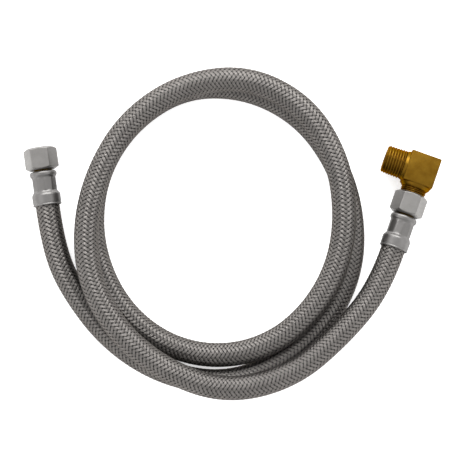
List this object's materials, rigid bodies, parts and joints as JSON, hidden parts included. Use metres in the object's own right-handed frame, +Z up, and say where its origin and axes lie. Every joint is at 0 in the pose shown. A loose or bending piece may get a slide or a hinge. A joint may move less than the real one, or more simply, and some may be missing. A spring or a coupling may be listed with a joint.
{
  "type": "braided supply line",
  "caption": "Stainless steel braided appliance supply hose in a loose coil, a loose coupling nut at one end and a nut on a brass pipe-thread elbow at the other.",
  "frame": {"origin": "on the floor under the middle of the box round the two end fittings", "axes": "+Z up; +X from the loose nut's end to the elbow's end, with the hose coiled between them; +Y the way both nuts point"},
  "size_m": [0.246, 0.1942, 0.0289],
  "materials": {
    "braid": "woven stainless steel wire, two over two",
    "liner": "smooth black rubber tube",
    "ferrule": "drawn and crimped stainless steel, bright",
    "nut": "satin nickel plate",
    "insert": "turned",
    "washer": "moulded",
    "elbow": "bar stock, machined, slightly dulled"
  },
  "bodies": {
    "hose": {"hose_braid": "braid", "hose_liner": "liner", "ferrule_a": "ferrule", "ferrule_b": "ferrule", "insert_a": "insert", "insert_b": "insert", "cone_washer_a": "washer"},
    "inlet_nut": {"coupling_nut_a": "nut"},
    "outlet_nut": {"coupling_nut_b": "nut"},
    "outlet_washer": {"cone_washer_b": "washer"},
    "elbow": {"elbow_body": "elbow"}
  },
  "joints": [
    {"name": "inlet_nut_spin", "type": "hinge", "parent": "hose", "child": "inlet_nut", "pos_m": [-0.11206, 0.02372, 0.00873], "axis": [-0.1426, 0.9898, 0], "continuous": true},
    {"name": "outlet_nut_turn", "type": "hinge", "parent": "hose", "child": "outlet_nut", "pos_m": [0.104, -0.00328, 0.01113], "axis": [-0.3346, -0.9398, 0.0698], "range_deg": [0, 3000]},
    {"name": "elbow_swivel", "type": "hinge", "parent": "hose", "child": "outlet_washer", "pos_m": [0.10373, -0.00403, 0.01119], "axis": [0.3346, 0.9398, -0.0698], "continuous": true},
    {"name": "elbow_unscrew", "type": "slide", "parent": "outlet_washer", "child": "elbow", "axis": [0.3346, 0.9398, -0.0698], "range_m": [0, 0.0095]}
  ],
  "couplings": [
    {"joint": "elbow_unscrew", "follows": "outlet_nut_turn", "m_per_rad": 0.00016843}
  ]
}
